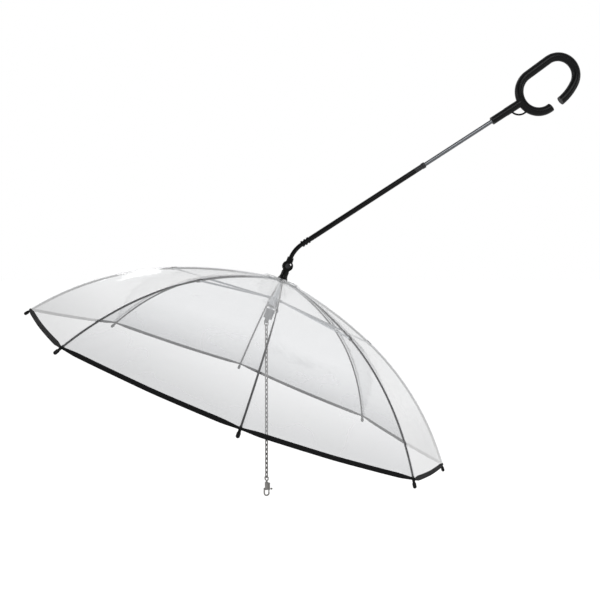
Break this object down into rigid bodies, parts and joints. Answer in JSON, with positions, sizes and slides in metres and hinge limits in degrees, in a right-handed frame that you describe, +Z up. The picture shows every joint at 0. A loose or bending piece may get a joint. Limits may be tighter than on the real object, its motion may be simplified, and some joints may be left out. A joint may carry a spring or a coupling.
{
  "type": "pet umbrella with leash chain",
  "caption": "Clear dome pet umbrella with a tilting telescopic stem on top, an open ring handle and a leash chain with a bolt snap inside.",
  "frame": {"origin": "middle of the handle sleeve, on its axis", "axes": "+Z up with the canopy hanging open as it is carried; the stem and the ring handle lie in the XZ plane, the handle towards +X and the canopy towards -X"},
  "size_m": [0.9123, 0.7372, 0.734],
  "materials": {
    "grip_black": "satin",
    "plastic_black": "satin",
    "tube_black": "satin",
    "tube_grey": "satin",
    "pin_steel": "satin",
    "hub_plastic": "satin",
    "hub_steel": "satin",
    "runner_plastic": "gloss",
    "band_plastic": "satin",
    "chain_steel": "polished",
    "snap_steel": "polished",
    "rib_black": "satin",
    "stretcher_steel": "satin",
    "film": "clear gloss"
  },
  "bodies": {
    "handle": {"c_handle": "grip_black", "handle_sleeve": "grip_black", "lanyard_eye": "grip_black", "upper_tube": "tube_grey", "tube_bushing": "plastic_black"},
    "lower_stem": {"lower_tube": "tube_black", "tube_collar": "plastic_black", "ribbed_collar": "plastic_black", "bent_tube": "tube_black", "hinge_fork": "plastic_black", "hinge_pin": "pin_steel"},
    "crown": {"ferrule": "plastic_black", "crown_notch": "hub_plastic", "crown_wire": "pin_steel", "centre_post": "hub_steel", "end_block": "hub_plastic"},
    "runner_body": {"runner": "runner_plastic", "runner_band": "band_plastic"},
    "rib_arm_1": {"rib_1": "rib_black", "tip_1": "plastic_black", "gore_1": "film"},
    "rib_arm_2": {"rib_2": "rib_black", "tip_2": "plastic_black", "gore_2": "film"},
    "rib_arm_3": {"rib_3": "rib_black", "tip_3": "plastic_black", "gore_3": "film"},
    "rib_arm_4": {"rib_4": "rib_black", "tip_4": "plastic_black", "gore_4": "film"},
    "rib_arm_5": {"rib_5": "rib_black", "tip_5": "plastic_black", "gore_5": "film"},
    "rib_arm_6": {"rib_6": "rib_black", "tip_6": "plastic_black", "gore_6": "film"},
    "rib_arm_7": {"rib_7": "rib_black", "tip_7": "plastic_black", "gore_7": "film"},
    "rib_arm_8": {"rib_8": "rib_black", "tip_8": "plastic_black", "gore_8": "film"},
    "stretcher_arm_1": {"stretcher_1": "stretcher_steel"},
    "stretcher_arm_2": {"stretcher_2": "stretcher_steel"},
    "stretcher_arm_3": {"stretcher_3": "stretcher_steel"},
    "stretcher_arm_4": {"stretcher_4": "stretcher_steel"},
    "stretcher_arm_5": {"stretcher_5": "stretcher_steel"},
    "stretcher_arm_6": {"stretcher_6": "stretcher_steel"},
    "stretcher_arm_7": {"stretcher_7": "stretcher_steel"},
    "stretcher_arm_8": {"stretcher_8": "stretcher_steel"},
    "chain_top": {"chain_ring": "chain_steel", "chain_1": "chain_steel"},
    "chain_mid_1": {"chain_2": "chain_steel"},
    "chain_mid_2": {"chain_3": "chain_steel"},
    "chain_low": {"chain_4": "chain_steel"},
    "snap_eye_body": {"snap_eye": "chain_steel"},
    "snap_body": {"snap_hook": "snap_steel", "snap_spring": "pin_steel"},
    "bolt_body": {"snap_bolt": "snap_steel"}
  },
  "joints": [
    {"name": "stem_slide", "type": "slide", "parent": "handle", "child": "lower_stem", "axis": [0.8396, 0, 0.5432], "range_m": [0, 0.128]},
    {"name": "canopy_tilt", "type": "hinge", "parent": "lower_stem", "child": "crown", "pos_m": [-0.35993, 0, -0.25324], "axis": [0, 1, 0], "range_deg": [-45, 35]},
    {"name": "canopy_fold", "type": "hinge", "parent": "crown", "child": "rib_arm_1", "pos_m": [-0.36094, 0, -0.28073], "axis": [0, 1, 0], "range_deg": [0, 58.2], "deforming": ["gore_1"]},
    {"name": "rib_2_fold", "type": "hinge", "parent": "crown", "child": "rib_arm_2", "pos_m": [-0.36339, 0.00636, -0.27978], "axis": [-0.6593, 0.7071, 0.2557], "range_deg": [-0.5, 58.7], "deforming": ["gore_2"]},
    {"name": "rib_3_fold", "type": "hinge", "parent": "crown", "child": "rib_arm_3", "pos_m": [-0.36933, 0.009, -0.27748], "axis": [-0.9323, 0, 0.3616], "range_deg": [-0.5, 58.7], "deforming": ["gore_3"]},
    {"name": "rib_4_fold", "type": "hinge", "parent": "crown", "child": "rib_arm_4", "pos_m": [-0.37526, 0.00636, -0.27518], "axis": [-0.6593, -0.7071, 0.2557], "range_deg": [-0.5, 58.7], "deforming": ["gore_4"]},
    {"name": "rib_5_fold", "type": "hinge", "parent": "crown", "child": "rib_arm_5", "pos_m": [-0.37772, 0, -0.27422], "axis": [0, -1, 0], "range_deg": [-0.5, 58.7], "deforming": ["gore_5"]},
    {"name": "rib_6_fold", "type": "hinge", "parent": "crown", "child": "rib_arm_6", "pos_m": [-0.37526, -0.00636, -0.27518], "axis": [0.6593, -0.7071, -0.2557], "range_deg": [-0.5, 58.7], "deforming": ["gore_6"]},
    {"name": "rib_7_fold", "type": "hinge", "parent": "crown", "child": "rib_arm_7", "pos_m": [-0.36933, -0.009, -0.27748], "axis": [0.9323, 0, -0.3616], "range_deg": [-0.5, 58.7], "deforming": ["gore_7"]},
    {"name": "rib_8_fold", "type": "hinge", "parent": "crown", "child": "rib_arm_8", "pos_m": [-0.36339, -0.00636, -0.27978], "axis": [0.6593, 0.7071, -0.2557], "range_deg": [-0.5, 58.7], "deforming": ["gore_8"]},
    {"name": "runner_slide", "type": "slide", "parent": "crown", "child": "runner_body", "axis": [0.3616, 0, 0.9323], "range_m": [-0.0005, 0.02494]},
    {"name": "stretcher_1_turn", "type": "hinge", "parent": "runner_body", "child": "stretcher_arm_1", "pos_m": [-0.37018, 0, -0.31147], "axis": [0, 1, 0], "range_deg": [-0.5, 69.67]},
    {"name": "stretcher_2_turn", "type": "hinge", "parent": "runner_body", "child": "stretcher_arm_2", "pos_m": [-0.37332, 0.00813, -0.31025], "axis": [-0.6593, 0.7071, 0.2557], "range_deg": [-0.5, 69.67]},
    {"name": "stretcher_3_turn", "type": "hinge", "parent": "runner_body", "child": "stretcher_arm_3", "pos_m": [-0.3809, 0.0115, -0.30731], "axis": [-0.9323, 0, 0.3616], "range_deg": [-0.5, 69.67]},
    {"name": "stretcher_4_turn", "type": "hinge", "parent": "runner_body", "child": "stretcher_arm_4", "pos_m": [-0.38848, 0.00813, -0.30437], "axis": [-0.6593, -0.7071, 0.2557], "range_deg": [-0.5, 69.67]},
    {"name": "stretcher_5_turn", "type": "hinge", "parent": "runner_body", "child": "stretcher_arm_5", "pos_m": [-0.39162, 0, -0.30315], "axis": [0, -1, 0], "range_deg": [-0.5, 69.67]},
    {"name": "stretcher_6_turn", "type": "hinge", "parent": "runner_body", "child": "stretcher_arm_6", "pos_m": [-0.38848, -0.00813, -0.30437], "axis": [0.6593, -0.7071, -0.2557], "range_deg": [-0.5, 69.67]},
    {"name": "stretcher_7_turn", "type": "hinge", "parent": "runner_body", "child": "stretcher_arm_7", "pos_m": [-0.3809, -0.0115, -0.30731], "axis": [0.9323, 0, -0.3616], "range_deg": [-0.5, 69.67]},
    {"name": "stretcher_8_turn", "type": "hinge", "parent": "runner_body", "child": "stretcher_arm_8", "pos_m": [-0.37332, -0.00813, -0.31025], "axis": [0.6593, 0.7071, -0.2557], "range_deg": [-0.5, 69.67]},
    {"name": "chain_lean", "type": "hinge", "parent": "crown", "child": "chain_top", "pos_m": [-0.39482, 0, -0.34321], "axis": [0, 1, 0], "range_deg": [-0.5, 21.7]},
    {"name": "chain_swing_1", "type": "hinge", "parent": "chain_top", "child": "chain_mid_1", "pos_m": [-0.39482, 0, -0.41201], "axis": [-0.7071, 0.7071, 0], "range_deg": [-50, 2]},
    {"name": "chain_swing_2", "type": "hinge", "parent": "chain_mid_1", "child": "chain_mid_2", "pos_m": [-0.39482, 0, -0.48041], "axis": [0.7071, 0.7071, 0], "range_deg": [-50, 2]},
    {"name": "chain_swing_3", "type": "hinge", "parent": "chain_mid_2", "child": "chain_low", "pos_m": [-0.39482, 0, -0.54881], "axis": [-0.7071, 0.7071, 0], "range_deg": [-50, 2]},
    {"name": "snap_swing", "type": "hinge", "parent": "chain_low", "child": "snap_eye_body", "pos_m": [-0.39482, 0, -0.60201], "axis": [0.7071, 0.7071, 0], "range_deg": [-50, 2]},
    {"name": "snap_swivel", "type": "hinge", "parent": "snap_eye_body", "child": "snap_body", "pos_m": [-0.39482, 0, -0.60936], "axis": [0, 0, 1], "continuous": true},
    {"name": "bolt_slide", "type": "slide", "parent": "snap_body", "child": "bolt_body", "axis": [0, 0, 1], "range_m": [0, 0.005], "stiffness_N_per_m": 150, "springref_m": -0.006, "deforming": ["snap_spring"]}
  ],
  "couplings": [
    {"joint": "rib_2_fold", "follows": "canopy_fold", "ratio": 1},
    {"joint": "rib_3_fold", "follows": "canopy_fold", "ratio": 1},
    {"joint": "rib_4_fold", "follows": "canopy_fold", "ratio": 1},
    {"joint": "rib_5_fold", "follows": "canopy_fold", "ratio": 1},
    {"joint": "rib_6_fold", "follows": "canopy_fold", "ratio": 1},
    {"joint": "rib_7_fold", "follows": "canopy_fold", "ratio": 1},
    {"joint": "rib_8_fold", "follows": "canopy_fold", "ratio": 1},
    {"joint": "runner_slide", "follows": "canopy_fold", "m_per_rad": 0.024063},
    {"joint": "stretcher_1_turn", "follows": "canopy_fold", "ratio": 1.1886},
    {"joint": "stretcher_2_turn", "follows": "canopy_fold", "ratio": 1.1886},
    {"joint": "stretcher_3_turn", "follows": "canopy_fold", "ratio": 1.1886},
    {"joint": "stretcher_4_turn", "follows": "canopy_fold", "ratio": 1.1886},
    {"joint": "stretcher_5_turn", "follows": "canopy_fold", "ratio": 1.1886},
    {"joint": "stretcher_6_turn", "follows": "canopy_fold", "ratio": 1.1886},
    {"joint": "stretcher_7_turn", "follows": "canopy_fold", "ratio": 1.1886},
    {"joint": "stretcher_8_turn", "follows": "canopy_fold", "ratio": 1.1886},
    {"joint": "chain_lean", "follows": "canopy_fold", "ratio": 0.36426}
  ]
}
